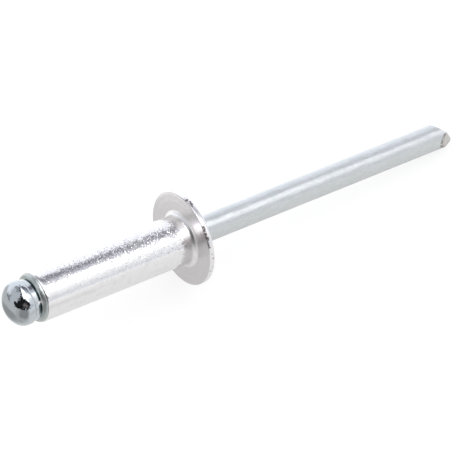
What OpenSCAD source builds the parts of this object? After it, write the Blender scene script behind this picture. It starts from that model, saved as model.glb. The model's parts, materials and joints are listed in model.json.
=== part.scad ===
// Open blind rivet, not yet set: a soft sleeve with a domed flange, threaded on a steel
// mandrel whose head seats on the sleeve's far end. Everything is turned about one axis,
// with the underside of the flange at height 0, the mandrel's head below it and its tail above.
// The finished rivet is then laid down, to rest on the rim of the flange and the end of the tail.

/* [Sleeve] */
// Outer diameter of the sleeve
sleeve_d = 5.0; // [4.5:0.1:6.4]
// Length of the sleeve below the flange
sleeve_l = 17.0; // [8:0.5:24]
// Rounding of the outer edge at the sleeve's end
sleeve_edge_r = 0.12; // [0.05:0.01:0.4]
// Gap all round between the mandrel and the hole it runs in
bore_gap = 0.04; // [0.02:0.01:0.15]

/* [Flange] */
// Outer diameter of the flange
flange_d = 9.6; // [9:0.1:14]
// Height of the flange from its underside to the crown of its dome
flange_h = 1.45; // [1.1:0.05:2.5]
// Thickness of the flange at its rim
rim_t = 0.65; // [0.4:0.05:0.9]
// Rounding of the rim's lower edge, which bears on the work
rim_lower_r = 0.08; // [0.04:0.01:0.15]
// Rounding of the rim's upper edge
rim_upper_r = 0.16; // [0.05:0.01:0.2]
// Radius of the fillet between the sleeve and the flange
fillet_r = 0.45; // [0.3:0.05:1.6]
// Width of the bevel round the mouth of the hole
mouth_bevel = 0.25; // [0.1:0.05:0.6]

/* [Mandrel] */
// Diameter of the mandrel's shank
mandrel_d = 2.67; // [2.2:0.01:3]
// Length of the mandrel from the underside of the flange to the end of its point
tail_l = 33.8; // [26:0.05:45]
// Distance of the break notch from the sleeve's end
notch_in = 1.2; // [0.8:0.1:4]
// Depth of the break notch
notch_depth = 0.36; // [0.1:0.01:0.6]

/* [Mandrel head] */
// Diameter of the collar that seats on the sleeve
collar_d = 4.86; // [4.7:0.02:5]
// Thickness of the collar
collar_t = 0.44; // [0.34:0.02:0.8]
// Diameter of the collar at its foot, where its rounded flank ends
collar_foot_d = 4.22; // [4.1:0.02:4.5]
// Width of the crease between the collar and the neck
crease_w = 0.14; // [0.08:0.01:0.3]
// Depth of the crease, from the neck
crease_depth = 0.2; // [0.1:0.01:0.4]
// Diameter of the neck between the crease and the dome
neck_d = 4.12; // [3.8:0.02:4.2]
// Length of the neck
neck_l = 0.46; // [0.2:0.02:1]
// Greatest diameter of the dome
dome_d = 4.44; // [4.3:0.02:4.8]
// Height of the dome from its back edge to its nose
dome_h = 2.16; // [1.9:0.02:2.8]
// Radius of the ball that rounds the dome's nose
nose_r = 2.62; // [2.5:0.02:4]
// Radius of the dome's shoulder, between its nose and its widest place
shoulder_r = 1.1; // [0.6:0.01:1.1]
// Rounding of the dome's back edge
dome_back_r = 0.25; // [0.05:0.01:0.35]

/* [Point] */
// Slope of the two pinched faces, measured from the mandrel's axis
pinch_angle = 30; // [20:1:45]
// Slope of the sheared face, measured from the mandrel's axis
shear_angle = 43; // [35:1:48]
// Distance from the end of the point to where the sheared face meets the axis
shear_drop = 1.04; // [0.2:0.01:1.1]
// Turn of the sheared face about the axis, from the upper end of the pinched edge
shear_turn = 25; // [0:1:35]

/* [Hidden] */
$fn = 96;

body_colour = [0.87, 0.87, 0.86];
mandrel_colour = [0.70, 0.74, 0.77];

sleeve_r = sleeve_d / 2;
flange_r = flange_d / 2;
mandrel_r = mandrel_d / 2;
bore_r = mandrel_r + bore_gap;
collar_r = collar_d / 2;
collar_foot_r = collar_foot_d / 2;
neck_r = neck_d / 2;
dome_r = dome_d / 2;

// How far the shapes that cut or bound others reach past them
spare = 1;
// How far shapes that are joined run into each other
lap = 0.1;
// Side of the blocks that cut the faces of the point
block = 4 * mandrel_d;

// Radius of the ball that a cap of this foot and height is cut from
function ball_r(foot_r, height) = (foot_r * foot_r + height * height) / (2 * height);

crown_foot_r = flange_r - rim_upper_r;
crown_r = ball_r(crown_foot_r, flange_h - rim_t);
flank_r = ball_r(collar_t, collar_r - collar_foot_r);

// Heights along the mandrel's head, from its seat on the sleeve
seat_z = -sleeve_l;
collar_z = seat_z - collar_t;
crease_z = collar_z - crease_w;
back_z = crease_z - neck_l;
nose_z = back_z - dome_h + nose_r;

// The shoulder's centre, placed so that the shoulder runs into the nose with no edge
shoulder_x = dome_r - shoulder_r;
shoulder_z = nose_z - sqrt(pow(nose_r - shoulder_r, 2) - pow(shoulder_x, 2));
// Where the nose ends and the shoulder begins, on the line through both centres
nose_foot_z = nose_z + (shoulder_z - nose_z) * nose_r / (nose_r - shoulder_r);

// Lying down, the rivet touches the ground with the rim's upper edge and the end of its point.
// The tilt is the angle of the line that is tangent to the one and runs through the other.
rim_round_z = rim_t - rim_upper_r;
reach_z = tail_l - rim_round_z;
reach_r = crown_foot_r - mandrel_r;
tilt = atan2(reach_r, reach_z) + asin(rim_upper_r / norm([reach_z, reach_r]));
lying_z = tail_l * sin(tilt) + mandrel_r * cos(tilt);

// The middle of its length, from the nose to the corner left on the pinched edge
point_corner = shear_drop * tan(shear_angle) / cos(shear_turn);
head_end_x = nose_z * cos(tilt) - nose_r;
tail_end_x = tail_l * cos(tilt) - point_corner * sin(tilt);
middle_x = (head_end_x + tail_end_x) / 2;

// Lays the rivet along the ground with its tail towards +X
module laid_down() {
    translate([-middle_x, 0, lying_z])
    rotate([0, 90 + tilt, 0])
    children();
}

// The sliver between a corner and the round that fills it or takes it off
module corner(r) {
    difference() {
        square(r);
        translate([r, r]) circle(r);
    }
}

// Half the section of a ball with its centre at this height, cut off between two heights
module cap(ball, ball_z, low_z, high_z) {
    intersection() {
        translate([0, ball_z]) circle(ball, $fn = 4 * $fn);
        translate([0, low_z]) square([ball + spare, high_z - low_z]);
    }
}

module flange_section() {
    difference() {
        square([flange_r, rim_t]);
        translate([flange_r, 0]) mirror([1, 0]) corner(rim_lower_r);
        translate([flange_r, rim_t]) rotate(180) corner(rim_upper_r);
    }
    cap(crown_r, flange_h - crown_r, rim_t, flange_h);
}

module sleeve_section() {
    difference() {
        translate([0, -sleeve_l]) square([sleeve_r, sleeve_l + rim_t / 2]);
        translate([sleeve_r, -sleeve_l]) mirror([1, 0]) corner(sleeve_edge_r);
    }
    translate([sleeve_r, 0]) mirror([0, 1]) corner(fillet_r);
}

module mouth_section() {
    translate([0, -sleeve_l - spare]) square([bore_r, sleeve_l + flange_h + 2 * spare]);
    bevel_z = flange_h - mouth_bevel;
    polygon([
        [0, bevel_z],
        [bore_r, bevel_z],
        [bore_r + mouth_bevel + spare, flange_h + spare],
        [0, flange_h + spare]
    ]);
}

module collar_section() {
    intersection() {
        translate([collar_r - flank_r, seat_z]) circle(flank_r);
        translate([0, collar_z]) square([collar_r + spare, collar_t]);
    }
    translate([0, collar_z]) square([collar_foot_r, collar_t]);
}

module neck_section() {
    // The neck starts inside the dome, below its rounded back edge
    foot_z = back_z - dome_back_r - lap;
    polygon([
        [0, foot_z],
        [neck_r, foot_z],
        [neck_r, crease_z],
        [neck_r - crease_depth, crease_z + crease_w / 2],
        [collar_foot_r, collar_z],
        [0, collar_z]
    ]);
}

module dome_section() {
    difference() {
        intersection() {
            union() {
                cap(nose_r, nose_z, back_z - dome_h - spare, nose_foot_z);
                translate([0, nose_foot_z - lap]) square([shoulder_x, dome_h]);
                translate([shoulder_x, shoulder_z]) circle(shoulder_r);
                translate([0, shoulder_z]) square([dome_r, dome_h]);
            }
            translate([0, back_z - dome_h - spare]) square([dome_r + spare, dome_h + spare]);
        }
        translate([dome_r, back_z]) rotate(180) corner(dome_back_r);
    }
}

module head_section() {
    collar_section();
    neck_section();
    dome_section();
}

module shank_section() {
    translate([0, collar_z]) square([mandrel_r, tail_l - collar_z]);
}

module notch_section() {
    notch_z = seat_z + notch_in;
    polygon([
        [mandrel_r - notch_depth, notch_z],
        [mandrel_r + spare, notch_z - notch_depth - spare],
        [mandrel_r + spare, notch_z + notch_depth + spare]
    ]);
}

// Takes off what lies outside a sloping face that meets the axis at this height
module face_cut(axis_z, angle, turn) {
    rotate(turn)
    translate([0, 0, axis_z])
    rotate([0, -angle, 0])
    translate([0, -block / 2, -block / 2])
    cube(block);
}

module rivet_body() {
    color(body_colour)
    laid_down()
    rotate_extrude()
    difference() {
        union() {
            flange_section();
            sleeve_section();
        }
        mouth_section();
    }
}

module mandrel() {
    color(mandrel_colour)
    laid_down()
    difference() {
        rotate_extrude() {
            head_section();
            difference() {
                shank_section();
                notch_section();
            }
        }
        for (side = [-90, 90])
            face_cut(tail_l, pinch_angle, side);
        face_cut(tail_l - shear_drop, shear_angle, 180 - shear_turn);
    }
}

rivet_body();
mandrel();
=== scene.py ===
import json
import math
import random

import bmesh
import bpy
from mathutils import Matrix, Vector


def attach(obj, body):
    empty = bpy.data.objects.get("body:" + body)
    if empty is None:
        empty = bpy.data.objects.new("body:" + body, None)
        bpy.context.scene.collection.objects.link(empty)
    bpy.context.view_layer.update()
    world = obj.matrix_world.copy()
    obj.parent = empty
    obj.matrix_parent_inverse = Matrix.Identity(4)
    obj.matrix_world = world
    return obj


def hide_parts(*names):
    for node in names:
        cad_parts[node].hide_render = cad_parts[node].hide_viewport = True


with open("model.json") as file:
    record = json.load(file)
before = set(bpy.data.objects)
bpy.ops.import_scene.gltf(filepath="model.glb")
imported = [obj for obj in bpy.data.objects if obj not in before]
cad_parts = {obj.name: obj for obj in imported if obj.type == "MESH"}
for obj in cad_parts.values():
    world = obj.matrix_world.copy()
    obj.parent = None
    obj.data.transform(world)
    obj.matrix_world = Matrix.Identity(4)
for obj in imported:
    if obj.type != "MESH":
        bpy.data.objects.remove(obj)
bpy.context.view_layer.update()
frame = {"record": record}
mm = 0.001  # sizes below are in millimetres

# How the rivet lies, read from the frame: the flange's underside and the way the tail points
mounts = {m["name"]: m for m in frame["record"]["mounts"]}
seat = mounts["flange_seat"]
tailWay = -Vector(seat["axis"]).normalized()
flangeCentre = Vector((seat["pos_m"][0], 0, seat["pos_m"][2]))
downWay = Vector((0, 1, 0)).cross(tailWay)
laidDown = Matrix((downWay, Vector((0, 1, 0)), tailWay)).transposed().to_4x4()
laidDown.translation = flangeCentre


# Shapes turned about an axis

def arc(centre, radius, start, end, steps):
    # points of a round stretch, angles in degrees from the outward direction towards the tail
    points = []
    for i in range(steps + 1):
        a = math.radians(start + (end - start) * i / steps)
        points.append((centre[0] + radius * math.cos(a), centre[1] + radius * math.sin(a)))
    return points


def line(start, end, steps):
    # evenly spaced points after the start, up to the end
    return [
        (start[0] + (end[0] - start[0]) * i / steps, start[1] + (end[1] - start[1]) * i / steps)
        for i in range(1, steps + 1)
    ]


def turned(outline, segments, closed):
    # revolves an outline of (radius, height) points; heights run along the rivet's axis
    shape = bmesh.new()
    rings = []
    for r, z in outline:
        if r < 1e-6:
            rings.append([shape.verts.new((0, 0, z * mm))])
            continue
        ring = []
        for i in range(segments):
            a = 2 * math.pi * i / segments
            ring.append(shape.verts.new((r * mm * math.cos(a), r * mm * math.sin(a), z * mm)))
        rings.append(ring)
    pairs = list(zip(rings, rings[1:]))
    if closed:
        pairs.append((rings[-1], rings[0]))
    for low, high in pairs:
        for i in range(segments):
            j = (i + 1) % segments
            if len(low) == 1:
                shape.faces.new((low[0], high[j], high[i]))
            elif len(high) == 1:
                shape.faces.new((low[i], low[j], high[0]))
            else:
                shape.faces.new((low[i], low[j], high[j], high[i]))
    bmesh.ops.recalc_face_normals(shape, faces=shape.faces)
    return shape


def piece(shape, name, sharpAngle):
    # lays the upright shape down and makes it an object
    shape.transform(laidDown)
    mesh = bpy.data.meshes.new(name)
    shape.to_mesh(mesh)
    shape.free()
    mesh.shade_smooth()
    mesh.set_sharp_from_angle(angle=math.radians(sharpAngle))
    made = bpy.data.objects.new(name, mesh)
    bpy.context.scene.collection.objects.link(made)
    return made


def ballRadius(foot, height):
    return (foot * foot + height * height) / (2 * height)


# Sleeve with its flange

sleeve = {
    "radius": 2.5,
    "length": 17.0,
    "endRound": 0.12,
    "bore": 1.375,
    "fillet": 0.45,
    "flangeRadius": 4.8,
    "flangeHeight": 1.45,
    "rimThickness": 0.65,
    "rimLowerRound": 0.08,
    "rimUpperRound": 0.16,
    "mouthBevel": 0.25,
    "segments": 288,
}


def sleeveOutline():
    s = sleeve
    foot = s["flangeRadius"] - s["rimUpperRound"]
    crown = ballRadius(foot, s["flangeHeight"] - s["rimThickness"])
    crownZ = s["flangeHeight"] - crown
    mouth = s["bore"] + s["mouthBevel"]
    mouthZ = crownZ + math.sqrt(crown ** 2 - mouth ** 2)
    endR = s["radius"] - s["endRound"]
    endZ = s["endRound"] - s["length"]
    points = [(s["bore"], -s["length"])]
    points += line(points[-1], (endR, -s["length"]), 3)
    points += arc((endR, endZ), s["endRound"], -90, 0, 6)[1:]
    points += line(points[-1], (s["radius"], -s["fillet"]), 60)
    points += arc((s["radius"] + s["fillet"], -s["fillet"]), s["fillet"], 180, 90, 20)[1:]
    lowerR = s["flangeRadius"] - s["rimLowerRound"]
    points += line(points[-1], (lowerR, 0), 6)
    points += arc((lowerR, s["rimLowerRound"]), s["rimLowerRound"], -90, 0, 5)[1:]
    upperZ = s["rimThickness"] - s["rimUpperRound"]
    points += line(points[-1], (s["flangeRadius"], upperZ), 4)
    points += arc((foot, upperZ), s["rimUpperRound"], 0, 90, 6)[1:]
    start = math.degrees(math.acos(foot / crown))
    end = math.degrees(math.acos(mouth / crown))
    points += arc((0, crownZ), crown, start, end, 24)[1:]
    points += line((mouth, mouthZ), (s["bore"], s["flangeHeight"] - s["mouthBevel"]), 2)
    points += line(points[-1], (s["bore"], -s["length"]), 30)[:-1]
    return points


print("sleeve and flange")
body = piece(turned(sleeveOutline(), sleeve["segments"], True), "sleeve_and_flange", 35)


# Mandrel

mandrel = {
    "radius": 1.335,
    "tail": 33.8,
    "seat": -sleeve["length"],  # height of the collar's seat, on the sleeve's end
    "collarRadius": 2.43,
    "collarThickness": 0.44,
    "collarFoot": 2.11,
    "creaseWidth": 0.14,
    "creaseDepth": 0.2,
    "neckRadius": 2.06,
    "neckLength": 0.46,
    "domeRadius": 2.22,
    "domeHeight": 2.16,
    "noseRadius": 2.62,
    "shoulderRadius": 1.1,
    "backRound": 0.25,
    "notchIn": 1.2,
    "notchDepth": 0.36,
    "pinchAngle": 30,
    "shearAngle": 43,
    "shearDrop": 1.04,
    "shearTurn": 25,
    "segments": 192,
}


def mandrelOutline():
    m = mandrel
    collarZ = m["seat"] - m["collarThickness"]
    creaseZ = collarZ - m["creaseWidth"]
    backZ = creaseZ - m["neckLength"]
    tip = backZ - m["domeHeight"]
    noseZ = tip + m["noseRadius"]
    shoulderR = m["domeRadius"] - m["shoulderRadius"]
    shoulderZ = noseZ - math.sqrt((m["noseRadius"] - m["shoulderRadius"]) ** 2 - shoulderR ** 2)
    meet = math.degrees(math.atan2(shoulderZ - noseZ, shoulderR))
    points = [(0, tip)]
    points += arc((0, noseZ), m["noseRadius"], -90, meet, 24)[1:]
    points += arc((shoulderR, shoulderZ), m["shoulderRadius"], meet, 0, 24)[1:]
    roundR = m["domeRadius"] - m["backRound"]
    roundZ = backZ - m["backRound"]
    points += line(points[-1], (m["domeRadius"], roundZ), 2)
    end = math.degrees(math.acos((m["neckRadius"] - roundR) / m["backRound"]))
    points += arc((roundR, roundZ), m["backRound"], 0, end, 8)[1:]
    points += line(points[-1], (m["neckRadius"], creaseZ), 3)
    points.append((m["neckRadius"] - m["creaseDepth"], (collarZ + creaseZ) / 2))
    flank = ballRadius(m["collarThickness"], m["collarRadius"] - m["collarFoot"])
    foot = -math.degrees(math.asin(m["collarThickness"] / flank))
    points += arc((m["collarRadius"] - flank, m["seat"]), flank, foot, 0, 14)
    points += line(points[-1], (m["radius"], m["seat"]), 3)
    notchZ = m["seat"] + m["notchIn"]
    points += line(points[-1], (m["radius"], notchZ - m["notchDepth"]), 2)
    points += line(points[-1], (m["radius"] - m["notchDepth"], notchZ), 1)
    points += line(points[-1], (m["radius"], notchZ + m["notchDepth"]), 1)
    points += line(points[-1], (m["radius"], m["tail"]), 120)
    points.append((0, m["tail"]))
    return points


def cutFace(shape, axisHeight, angle, turn):
    # takes off what lies outside a sloping face, and closes the cut
    out = Vector((math.cos(math.radians(angle)), 0, math.sin(math.radians(angle))))
    out.rotate(Matrix.Rotation(math.radians(turn), 3, "Z"))
    everything = shape.verts[:] + shape.edges[:] + shape.faces[:]
    place = (0, 0, axisHeight * mm)
    cut = bmesh.ops.bisect_plane(
        shape, geom=everything, dist=1e-7, plane_co=place, plane_no=out, clear_outer=True
    )
    rim = [e for e in cut["geom_cut"] if isinstance(e, bmesh.types.BMEdge)]
    bmesh.ops.holes_fill(shape, edges=rim, sides=0)


print("mandrel")
mandrelShape = turned(mandrelOutline(), mandrel["segments"], False)
for side in (-90, 90):
    cutFace(mandrelShape, mandrel["tail"], mandrel["pinchAngle"], side)
shearHeight = mandrel["tail"] - mandrel["shearDrop"]
cutFace(mandrelShape, shearHeight, mandrel["shearAngle"], 180 - mandrel["shearTurn"])
pin = piece(mandrelShape, "mandrel_and_head", 25)


# Materials

class Wire:
    # a shader socket that takes part in plain expressions, each step of which adds a node
    def __init__(self, tree, socket):
        self.tree = tree
        self.socket = socket

    def isVector(self):
        return self.socket.type in ("VECTOR", "RGBA")

    def join(self, other, operation, swapped=False):
        wide = self.isVector() or (isinstance(other, Wire) and other.isVector())
        kind = "ShaderNodeVectorMath" if wide else "ShaderNodeMath"
        pair = (other, self) if swapped else (self, other)
        if wide and operation == "MULTIPLY" and isinstance(other, (int, float)):
            return self.tree.add(kind, {"operation": "SCALE"}, {0: self, "Scale": other})
        return self.tree.add(kind, {"operation": operation}, {0: pair[0], 1: pair[1]})

    def __add__(self, other):
        return self.join(other, "ADD")

    def __radd__(self, other):
        return self.join(other, "ADD", True)

    def __sub__(self, other):
        return self.join(other, "SUBTRACT")

    def __rsub__(self, other):
        return self.join(other, "SUBTRACT", True)

    def __mul__(self, other):
        return self.join(other, "MULTIPLY")

    def __rmul__(self, other):
        return self.join(other, "MULTIPLY")

    def __truediv__(self, other):
        return self.join(other, "DIVIDE")

    def __pow__(self, other):
        return self.join(other, "POWER")


class ShaderTree:
    def __init__(self, owner):
        owner.use_nodes = True
        self.nodes = owner.node_tree.nodes
        self.links = owner.node_tree.links
        self.nodes.clear()

    def put(self, socket, value):
        if isinstance(value, Wire):
            self.links.new(value.socket, socket)
        elif value is not None:
            if socket.type == "RGBA" and len(value) == 3:
                value = (*value, 1)
            socket.default_value = value

    def add(self, kind, settings=None, inputs=None, out=0):
        # any node from its type, its settings and the values or links of its sockets
        node = self.nodes.new(kind)
        for name, value in (settings or {}).items():
            setattr(node, name, value)
        for name, value in (inputs or {}).items():
            self.put(node.inputs[name], value)
        return Wire(self, node.outputs[out]) if len(node.outputs) else None

    def maths(self, operation, *values):
        return self.add("ShaderNodeMath", {"operation": operation}, dict(enumerate(values)))

    def vectorMaths(self, operation, *values, out=0):
        return self.add("ShaderNodeVectorMath", {"operation": operation}, dict(enumerate(values)), out)

    def dot(self, first, second):
        return self.vectorMaths("DOT_PRODUCT", first, second, out=1)

    def length(self, vector):
        return self.vectorMaths("LENGTH", vector, out=1)

    def distance(self, first, second):
        return self.vectorMaths("DISTANCE", first, second, out=1)

    def largest(self, first, *others):
        for other in others:
            first = self.maths("MAXIMUM", first, other)
        return first

    def mix(self, factor, first, second):
        # colour blend
        return self.add("ShaderNodeMix", {"data_type": "RGBA"}, {0: factor, 6: first, 7: second}, 2)

    def blend(self, factor, first, second):
        # value blend
        return self.add("ShaderNodeMix", {"data_type": "FLOAT"}, {0: factor, 2: first, 3: second})

    def mixShader(self, factor, first, second):
        return self.add("ShaderNodeMixShader", None, {0: factor, 1: first, 2: second})

    def step(self, value, start, end):
        # 0 before start, 1 after end, smooth between
        settings = {"interpolation_type": "SMOOTHSTEP"}
        return self.add("ShaderNodeMapRange", settings, {0: value, 1: start, 2: end, 3: 0, 4: 1})

    def band(self, value, low, high, soft):
        # 1 between low and high, 0 outside
        above = self.step(value, low - soft, low + soft)
        return above * (1 - self.step(value, high - soft, high + soft))

    def noise(self, place, scale, detail=2, roughness=0.5, out=0):
        inputs = {"Vector": place, "Scale": scale, "Detail": detail, "Roughness": roughness}
        return self.add("ShaderNodeTexNoise", None, inputs, out)

    def jitter(self, place, scale, detail=2):
        # a soft random vector around zero
        return self.noise(place, scale, detail, 0.5, 1) - (0.5, 0.5, 0.5)

    def cells(self, place, scale):
        # a random vector around zero for each small cell
        inputs = {"Vector": place, "Scale": scale}
        return self.add("ShaderNodeTexVoronoi", None, inputs, 1) - (0.5, 0.5, 0.5)

    def parts(self, vector):
        node = self.add("ShaderNodeSeparateXYZ", None, {0: vector}).socket.node
        return [Wire(self, node.outputs[i]) for i in range(3)]

    def vector(self, x, y, z):
        return self.add("ShaderNodeCombineXYZ", None, {0: x, 1: y, 2: z})

    def upright(self):
        # place on the piece in millimetres, with Z along the rivet's axis and 0 at the flange's
        # underside, then its parts and its distance from the axis
        stand = laidDown.inverted()
        inputs = {
            "Vector": self.add("ShaderNodeTexCoord", None, None, 3),
            "Location": stand.translation / mm,
            "Rotation": stand.to_euler(),
            "Scale": (1 / mm,) * 3,
        }
        place = self.add("ShaderNodeMapping", None, inputs)
        x, y, z = self.parts(place)
        return place, x, y, z, (x * x + y * y) ** 0.5

    def laid(self, vector):
        # turns an upright direction to how the rivet lies
        inputs = {"Vector": vector, "Rotation": laidDown.to_euler()}
        return self.add("ShaderNodeMapping", {"vector_type": "VECTOR"}, inputs)

    def tipped(self, *tilts):
        # the surface's normal, tipped by small vectors
        normal = self.add("ShaderNodeNewGeometry", None, None, 1)
        for tilt in tilts:
            normal = normal + tilt
        return self.vectorMaths("NORMALIZE", normal)

    def metal(self, colour, rough, normal):
        inputs = {"Base Color": colour, "Roughness": rough, "Metallic": 1.0, "Normal": normal}
        shader = self.add("ShaderNodeBsdfPrincipled", None, inputs)
        self.add("ShaderNodeOutputMaterial", None, {"Surface": shader})


aluminium = {
    "colour": (0.85, 0.845, 0.845),
    "dull": (0.77, 0.765, 0.765),
    "faceToneAndShadeColour": (0.65, 0.63, 0.637),
    "nickColour": (0.09, 0.06, 0.06),
    "roughness": 0.09,
    "faceRoughness": 0.2,
    "filletRoughness": 0.34,
    "speckles": 10.0,  # to the millimetre
    "speckleTilt": 0.06,
    "grainTilt": 0.25,  # of the few grains that stand out
    "swell": 0.04,
    "brushTilt": 0.3,
    "nickSize": 0.19,
    "nickSeed": 5,
    # Large nicks: degrees round the axis, height, and size against the usual one
    "nicks": [
        (-184, 0.3, 0.4),
        (-179.7, 0.22, 1.0),
        (-175.5, 0.38, 0.7),
        (-171.7, 0.3, 1.0),
        (-168.5, 0.2, 0.6),
    ],
    # Groups of small nicks: how many, first angle, angle between them, stray, heights and sizes
    "smallNicks": [
        (11, -140, 2.4, 1, (0.08, 0.18), (0.5, 0.9)),
        (6, -108, 9, 2, (0.12, 0.42), (0.25, 0.45)),
        (9, -20, 21, 6, (0.1, 0.5), (0.3, 0.6)),
    ],
}


def rimNicks():
    # knocks on the rim: degrees round the axis, height, and size against the usual one
    nicks = list(aluminium["nicks"])
    rng = random.Random(aluminium["nickSeed"])
    for count, first, apart, stray, heights, sizes in aluminium["smallNicks"]:
        for i in range(count):
            angle = first + i * apart + rng.uniform(-stray, stray)
            nicks.append((angle, rng.uniform(*heights), rng.uniform(*sizes)))
    return nicks


def nickMarks(tree, place):
    # 1 in the nicks of the rim, 0 elsewhere
    rim = sleeve["flangeRadius"]
    wobbly = place + tree.jitter(place, 7) * 0.35
    marks = []
    for angle, height, size in rimNicks():
        turn = math.radians(angle)
        spot = (rim * math.cos(turn), rim * math.sin(turn), height)
        reach = aluminium["nickSize"] * size
        marks.append(1 - tree.step(tree.distance(wobbly, spot), reach * 0.6, reach * 1.3))
    return tree.largest(*marks)


def aluminiumFinish():
    a = aluminium
    made = bpy.data.materials.new("bright_aluminium")
    tree = ShaderTree(made)
    place, x, y, z, radius = tree.upright()
    outward = tree.vector(x / radius, y / radius, 0)

    # The drawn sleeve, the fillet, and the two sides of the flange, which a lathe has cut
    filletEnd = sleeve["radius"] + sleeve["fillet"]
    face = tree.step(radius, filletEnd - 0.1, filletEnd + 0.03) * (1 - tree.step(z, 0.02, 0.06))
    crown = tree.step(z, sleeve["rimThickness"] - 0.05, sleeve["rimThickness"] + 0.01)
    latheCut = tree.largest(face, crown)
    onSleeve = 1 - tree.step(z, -1.5, -0.6)
    fillet = (1 - onSleeve) * (1 - tree.step(radius, filletEnd - 0.15, filletEnd))

    # Speckles grow stronger towards the flange, and a few grains stand out
    coarse = tree.step(tree.noise(place, 8, 2, 0.7), 0.52, 0.62) * a["grainTilt"] + a["speckleTilt"]
    strength = tree.blend(tree.step(z, -sleeve["length"], -3), 0.45, 1.15)
    speckle = tree.cells(place, a["speckles"]) * coarse * strength
    swell = tree.jitter(place, 1.1) * a["swell"]
    rings = tree.noise(tree.vector(radius * 16, tree.noise(place, 0.8) * 3, 0), 1, 2, 0.6) - 0.5
    brush = tree.laid(outward) * (rings * latheCut * a["brushTilt"])
    normal = tree.tipped(speckle * onSleeve, swell, brush)

    patchy = tree.step(tree.noise(place, 1.6, 3, 0.6), 0.46, 0.72)
    colour = tree.mix(patchy * 0.7, a["colour"], a["dull"])
    # the flange's underside is darker: partly the duller tone of its lathe-cut face, partly painted
    # shade for the darker surroundings it mirrors
    colour = tree.mix(face, colour, a["faceToneAndShadeColour"])
    colour = tree.mix(tree.step(rings, -0.1, 0.2) * latheCut * 0.25, colour, a["dull"])
    marks = nickMarks(tree, place)
    colour = tree.mix(marks * 0.9, colour, a["nickColour"])
    fine = tree.noise(place, 11, 2, 0.6)
    rough = tree.blend(fillet, a["faceRoughness"], a["filletRoughness"])
    rough = tree.blend(onSleeve, rough, a["roughness"]) + fine * 0.08 + marks * 0.3
    tree.metal(colour, rough, normal)
    return made


zinc = {
    "colour": (0.69, 0.71, 0.725),
    "tint": (0.655, 0.695, 0.69),
    "headColour": (0.56, 0.60, 0.625),
    "collarColour": (0.5, 0.54, 0.53),
    "dashColour": (0.58, 0.605, 0.605),
    "pinchColour": (0.66, 0.625, 0.605),
    "seamColour": (0.2, 0.18, 0.17),
    # painted light on the head: painted shade over the crease, a painted reflection on the collar's
    # flank and a painted highlight as its glint
    "paintedCreaseShadeColour": (0.08, 0.115, 0.12),
    "paintedSheenColour": (0.88, 0.92, 0.91),
    "paintedGlintColour": (0.99, 0.99, 0.99),
    # this way places the painted reflection, painted shade and painted highlight on the head for one
    # view
    "acrossWay": (0.673, -0.74, 0),  # across the round, as the camera sees it
    "roughness": 0.07,
    "tailRoughness": 0.3,
    "lineTilt": 0.5,
    "tailTurn": 0.11,  # how far the drawn skin leans round the axis
    "speckles": 5.0,
    "speckleTilt": 0.03,
    "swell": 0.03,
    "cutTilt": 0.22,  # of the rugged pinched and sheared faces
    "pointStart": 20,  # height beyond which only those faces lie inside the wire's radius
}


def headColoursAndPaintedLight(tree, place, radius, z, collarZ):
    # the head's colour, from its dome to the collar, with a painted reflection on the collar's flank,
    # painted shade over the crease and a painted highlight as a small glint
    s = zinc
    wide = mandrel["creaseWidth"]
    across = tree.dot(place, s["acrossWay"]) / radius  # from -1 to 1
    collar = tree.step(z, collarZ - 0.03, collarZ + 0.03)
    # painted reflection: a pale patch on the collar's flank, on the side that faces the camera
    paintedSheen = (1 - tree.step(z, collarZ + 0.1, collarZ + 0.3)) * tree.band(across, -0.4, 0.42, 0.2)
    flank = tree.mix(paintedSheen, s["collarColour"], s["paintedSheenColour"])
    colour = tree.mix(collar, s["headColour"], flank)
    # painted shade: a dark band over the crease that reaches onto the neck's end, wider on one side
    reach = tree.blend(tree.step(across, 0.25, 0.45), 1.5, 2.2) * wide
    paintedCreaseShade = tree.band(z, collarZ - reach, collarZ - wide * 0.4, 0.03)
    colour = tree.mix(paintedCreaseShade * (1 - tree.step(across, 0.7, 0.9)), colour, s["paintedCreaseShadeColour"])
    # painted highlight: a small white glint beside the crease, over the neck's end and the collar
    paintedGlint = tree.band(across, 0.26, 0.38, 0.07) * tree.band(z, collarZ - 0.34, collarZ + 0.26, 0.06)
    return tree.mix(paintedGlint, colour, s["paintedGlintColour"])


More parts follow.
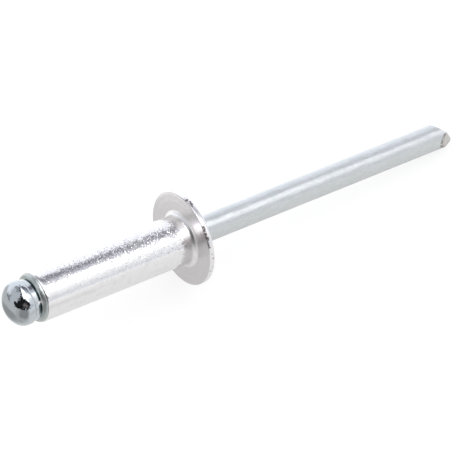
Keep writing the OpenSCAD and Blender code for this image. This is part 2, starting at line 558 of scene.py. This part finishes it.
def zincFinish():
    s = zinc
    m = mandrel
    made = bpy.data.materials.new("zinc_plate")
    tree = ShaderTree(made)
    place, x, y, z, radius = tree.upright()
    around = tree.vector(0 - y / radius, x / radius, 0)
    wire = tree.step(z, m["seat"], m["seat"] + 0.5)
    collarZ = m["seat"] - m["collarThickness"]
    collar = tree.step(z, collarZ - 0.03, collarZ + 0.03) * (1 - wire)

    # How far each place lies below the pinched faces
    lean = math.radians(m["pinchAngle"])
    depth = (m["tail"] - z) * math.sin(lean) - tree.maths("ABSOLUTE", y) * math.cos(lean)
    pinched = 1 - tree.step(depth, 0.01, 0.03)
    inside = 1 - tree.step(radius, m["radius"] - 0.05, m["radius"] - 0.02)
    cut = inside * tree.step(z, s["pointStart"], s["pointStart"] + 1)
    seam = (1 - tree.step(depth, 0.06, 0.2)) * tree.step(tree.noise(place, 4, 2, 0.6), 0.38, 0.5)
    seam = seam * tree.step(radius, m["radius"] - 0.16, m["radius"] - 0.06)

    lines = tree.noise(tree.vector(x * 9, y * 9, z * 0.5), 1, 3, 0.65) - 0.5
    drawn = tree.laid(around) * ((lines * s["lineTilt"] + s["tailTurn"]) * wire)
    speckle = tree.cells(place, s["speckles"]) * s["speckleTilt"]
    swell = tree.jitter(place, 0.9) * s["swell"]
    rugged = tree.cells(place, 6) * (cut * s["cutTilt"])
    normal = tree.tipped(drawn, speckle, swell, rugged)

    patchy = tree.step(tree.noise(place, 1.1, 3, 0.5), 0.4, 0.65)
    dashes = tree.noise(tree.vector(x * 11, y * 11, z * 1.7), 1, 2, 0.65)
    colour = tree.mix(patchy, s["colour"], s["tint"])
    colour = tree.mix(tree.step(lines, 0.02, 0.2) * 0.3, colour, s["headColour"])
    colour = tree.mix(tree.step(dashes, 0.47, 0.6) * 0.5, colour, s["dashColour"])
    colour = tree.mix(wire, headColoursAndPaintedLight(tree, place, radius, z, collarZ), colour)
    wear = tree.step(tree.noise(place, 3.5, 3, 0.7), 0.4, 0.62)
    colour = tree.mix(pinched, colour, tree.mix(wear * 0.5, s["pinchColour"], s["tint"]))
    colour = tree.mix(seam * 0.8, colour, s["seamColour"])
    rough = tree.blend(wire, s["roughness"], s["tailRoughness"])
    rough = rough + collar * 0.3 + cut * 0.15 + lines * 0.1
    tree.metal(colour, rough, normal)
    return made


print("finishes")
body.data.materials.append(aluminiumFinish())
pin.data.materials.append(zincFinish())
for made, node, slotName in ((body, "rivet_body", "sleeve"), (pin, "mandrel", "mandrel")):
    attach(made, "root")
    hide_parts(node)


# Camera, placed so that the flange's underside shows at its place in the picture

cameraView = {
    "azimuth": 35.50,
    "elevation": 43.83,
    "pictureSide": 452,
    "focalPixels": 3400,
    "flangePixel": (180.87, 238.60),
    "flangeDistance": 329.5,
    "sensor": 36,
}


def cameraAxes():
    a = math.radians(cameraView["azimuth"])
    e = math.radians(cameraView["elevation"])
    right = Vector((math.cos(a), -math.sin(a), 0))
    ahead = Vector((math.cos(e) * math.sin(a), math.cos(e) * math.cos(a), -math.sin(e)))
    return right, right.cross(ahead), ahead


def placeCamera():
    v = cameraView
    right, up, ahead = cameraAxes()
    across = (v["flangePixel"][0] - v["pictureSide"] / 2) / v["focalPixels"]
    down = (v["flangePixel"][1] - v["pictureSide"] / 2) / v["focalPixels"]
    eye = flangeCentre - (ahead + right * across - up * down) * v["flangeDistance"] * mm
    lens = bpy.data.cameras.new("camera")
    lens.sensor_width = v["sensor"]
    lens.lens = v["focalPixels"] * v["sensor"] / v["pictureSide"]
    lens.clip_start = 0.01
    made = bpy.data.objects.new("camera", lens)
    made.matrix_world = Matrix((right, up, -ahead)).transposed().to_4x4()
    made.matrix_world.translation = eye
    bpy.context.scene.collection.objects.link(made)
    bpy.context.scene.camera = made


print("camera")
placeCamera()


# Studio, laid out by direction: degrees to the right and up from the way to the camera

studio = {
    "front": 0.95,  # walls on the camera's side
    "left": 0.74,
    "behind": 1.25,  # white sheet behind and above the rivet
    "box": 2.9,  # soft box above, to the right
    "boxSide": 1.15,
    "frame": 0.13,  # its black frame
    "room": 0.015,  # unlit room round the camera
    "haze": 0.2,  # paler middle of that room
    "smudge": 0.45,
    "farSmudge": 0.36,
    "edge": 0.66,  # far edge of the table
    "cool": (0.955, 0.975, 1.035),
    "warm": (1.12, 0.92, 0.95),
    "dusk": (0.95, 0.91, 1.1),
    "doubleLight": 3.0,  # seen only by rays that are mirrored twice
    "doubleDark": 0.4,
    "diffuse": 0.95,
    "wobble": 45,  # degrees by which the patches' edges wander
    # Edges of the soft box and its frame, as where they begin to fade and where they end. For the
    # frame's left side: where it lies, from end to end, and how soft it is
    "boxEdges": {"left": (-4, 0), "right": (42, 74), "top": (57, 61), "foot": (8, 15)},
    "frameEdges": {
        "left": (-14, -6),
        "right": (60, 90),
        "low": (60, 76),
        "high": (75.5, 77.5),
        "sideSpan": (-17, -5, 3),
        "sideRise": (12, 80, 6),
    },
    # Round patches: middle, half sizes, tilt and softness of the edge
    "patches": {
        "smudge": ((-30, 60), (17, 22), 0, 0.4),
        "farSmudge": ((-103, 10), (24, 22), 0, 0.4),
        "room": ((3, -14), (52, 29), 6, 0.1),
        "roomLeft": ((-42, -29), (20, 20), 0, 0.1),
        "roomTop": ((-20, 8), (13, 16), 0, 0.1),
        "haze": ((10, -20), (22, 12), 0, 0.4),
        "doubleLight": ((-7, 14), (24, 15), 0, 0.3),
        "doubleDark": ((7, -30), (34, 24), 0, 0.3),
    },
}


def rayKind(tree, name):
    return tree.add("ShaderNodeLightPath", None, None, name)


class Chart:
    # each direction of the world by its degrees right of and above the way to the camera
    def __init__(self, tree):
        right, up, ahead = cameraAxes()
        way = tree.add("ShaderNodeTexCoord", None, None, 0)
        across = tree.dot(way, right)
        high = tree.dot(way, up)
        wobble = tree.parts(tree.jitter(way, 4))
        degrees = 180 / math.pi
        self.tree = tree
        self.away = tree.maths("ARCCOSINE", tree.dot(way, -ahead)) * degrees
        spread = self.away / (across * across + high * high) ** 0.5
        self.toRight = across * spread
        self.toUp = high * spread
        self.wobblyRight = self.toRight + wobble[0] * studio["wobble"]
        self.wobblyUp = self.toUp + wobble[1] * studio["wobble"]
        self.lift = tree.maths("ARCSINE", tree.parts(way)[2]) * degrees  # above the horizon

    def patch(self, name):
        middle, half, tilt, soft = studio["patches"][name]
        cosine = math.cos(math.radians(tilt))
        sine = math.sin(math.radians(tilt))
        right = self.wobblyRight - middle[0]
        up = self.wobblyUp - middle[1]
        along = (right * cosine + up * sine) / half[0]
        across = (up * cosine - right * sine) / half[1]
        return 1 - self.tree.step((along * along + across * across) ** 0.5, 1 - soft, 1 + soft)


def softBox(tree, chart):
    # the lit box, and its frame, seen along its slanting top and its left side
    over = chart.toRight * 0.63 + chart.toUp * 0.777  # grows across the slanting top
    under = chart.toUp + tree.largest(chart.toRight - 25, 0) * 0.55  # grows up from the lower edge
    e = studio["boxEdges"]
    box = tree.step(chart.toRight, *e["left"]) * (1 - tree.step(chart.toRight, *e["right"]))
    box = box * (1 - tree.step(over, *e["top"])) * tree.step(under, *e["foot"])
    e = studio["frameEdges"]
    top = tree.step(over, *e["low"]) * (1 - tree.step(over, *e["high"]))
    top = top * tree.step(chart.toRight, *e["left"]) * (1 - tree.step(chart.toRight, *e["right"]))
    side = tree.band(chart.wobblyRight, *e["sideSpan"]) * tree.band(chart.wobblyUp, *e["sideRise"])
    return box, tree.largest(top, side)


def mirroredColour(tree):
    # what the metal mirrors in each direction
    s = studio
    chart = Chart(tree)
    box, boxFrame = softBox(tree, chart)
    room = tree.largest(chart.patch("room"), chart.patch("roomLeft"), chart.patch("roomTop"))
    haze = chart.patch("haze")
    tableEdge = tree.band(chart.lift, 5, 9, 2) * tree.step(chart.toRight, 20, 40)
    value = tree.blend(tree.step(chart.toRight, -35, 5), s["left"], s["front"])
    value = tree.blend(tree.step(chart.away, 75, 100), value, s["behind"])
    value = tree.blend(box, value, tree.blend(tree.step(chart.toRight, 34, 58), s["box"], s["boxSide"]))
    value = tree.blend(chart.patch("smudge"), value, s["smudge"])
    value = tree.blend(chart.patch("farSmudge"), value, s["farSmudge"])
    value = tree.blend(boxFrame, value, s["frame"])
    value = tree.blend(room, value, tree.blend(haze, s["room"], s["haze"]))
    value = tree.blend(tableEdge * 0.6, value, s["edge"])
    # Rays mirrored twice come from the flange's face by way of the sleeve
    twice = tree.step(rayKind(tree, "Glossy Depth"), 1.2, 1.8)
    doubled = tree.blend(chart.patch("doubleLight"), s["front"], s["doubleLight"])
    doubled = tree.blend(chart.patch("doubleDark"), doubled, s["doubleDark"])
    value = tree.blend(twice * (1 - tree.step(chart.away, 55, 75)), value, doubled)
    colour = tree.mix(tree.largest(box, twice), s["cool"], (1, 1, 1))
    colour = tree.mix(haze * room, colour, s["warm"])
    return tree.mix(boxFrame, colour, s["dusk"]) * value


def surround():
    world = bpy.data.worlds.new("studio")
    bpy.context.scene.world = world
    tree = ShaderTree(world)
    kind = "ShaderNodeBackground"
    mirror = tree.add(kind, None, {"Color": mirroredColour(tree), "Strength": 1})
    plain = tree.add(kind, None, {"Color": (1, 1, 1), "Strength": studio["diffuse"]})
    white = tree.add(kind, None, {"Color": (1, 1, 1), "Strength": 1})
    glossy = tree.mixShader(rayKind(tree, "Is Glossy Ray"), plain, mirror)
    final = tree.mixShader(rayKind(tree, "Is Camera Ray"), glossy, white)
    tree.add("ShaderNodeOutputWorld", None, {"Surface": final})


# Floor, which glows so that the camera sees it white; its darker places show in the metal only

floorLook = {
    "side": 1200,
    "colour": 0.35,
    "plainColour": 0.85,  # as it lights the rivet
    "glow": 0.735,
    "glowInMetal": 0.58,
    "farGlow": 0.14,
    "behindGlow": 0.45,
    "leftShade": 0.2,
    "beforeShade": 0.12,
    "headShade": 0.34,
    "headSpot": (-25, 0, 0),
    "besideSpot": (-34, 5, 0),
    "faceSpot": (-12, 5, 0),
}


def headShade(tree, place):
    # streaks on the floor before the head, and a darker place beside it, as its dome mirrors them
    right, _, ahead = cameraAxes()
    fromHead = place - floorLook["headSpot"]
    forward = 0 - tree.dot(fromHead, (ahead.x, ahead.y, 0)) / math.hypot(ahead.x, ahead.y)
    slant = tree.dot(fromHead, right) / tree.largest(forward, 0.5)
    streaks = tree.step(tree.noise(tree.vector(slant * 5, 0, 0), 1, 2, 0.6), 0.42, 0.56) * 0.6
    block = tree.band(slant, -0.65, 0.45, 0.15) * tree.step(forward, 6, 11)
    before = tree.largest(streaks, block) * tree.step(forward, 2, 4) * tree.band(slant, -1, 0.7, 0.15)
    beside = 1 - tree.step(tree.distance(place, floorLook["besideSpot"]), 4, 10)
    return tree.largest(before, beside * 0.8) * floorLook["headShade"]


def floorGlow(tree, glossy):
    f = floorLook
    place = tree.add("ShaderNodeNewGeometry") * (1 / mm)
    x, y = tree.parts(place)[:2]
    left = 1 - tree.step(x, -30, -26)
    before = tree.band(0 - y, 13, 23, 3) * (1 - tree.step(x, -14, -8)) * (1 - left)
    shade = tree.largest(headShade(tree, place), before * f["beforeShade"]) + left * f["leftShade"]
    nearFace = 1 - tree.step(tree.distance(place, f["faceSpot"]), 6, 9)
    behind = tree.step(y, 2, 7) * tree.step(x, -28, -23) * (1 - nearFace) * f["behindGlow"]
    far = tree.step(tree.length(place), 20, 120) * (1 - left) * f["farGlow"]
    return tree.blend(glossy, f["glow"], far + behind + f["glowInMetal"] - shade)


def ground():
    half = floorLook["side"] * mm / 2
    corners = [(-half, -half, 0), (half, -half, 0), (half, half, 0), (-half, half, 0)]
    mesh = bpy.data.meshes.new("floor")
    mesh.from_pydata(corners, [], [(0, 1, 2, 3)])
    floor = bpy.data.objects.new("floor", mesh)
    bpy.context.scene.collection.objects.link(floor)
    made = bpy.data.materials.new("floor")
    tree = ShaderTree(made)
    glossy = rayKind(tree, "Is Glossy Ray")
    matt = tree.add("ShaderNodeBsdfDiffuse", None, {"Color": (floorLook["colour"],) * 3})
    glow = tree.add("ShaderNodeEmission", None, {"Color": floorGlow(tree, glossy), "Strength": 1})
    lit = tree.add("ShaderNodeAddShader", None, {0: matt, 1: glow})
    plain = tree.add("ShaderNodeBsdfDiffuse", None, {"Color": (floorLook["plainColour"],) * 3})
    seen = rayKind(tree, "Is Camera Ray") + glossy + rayKind(tree, "Is Transmission Ray")
    final = tree.mixShader(seen, plain, lit)
    tree.add("ShaderNodeOutputMaterial", None, {"Surface": final})
    mesh.materials.append(made)


print("studio")
surround()
ground()
bpy.context.scene.view_settings.view_transform = "Standard"
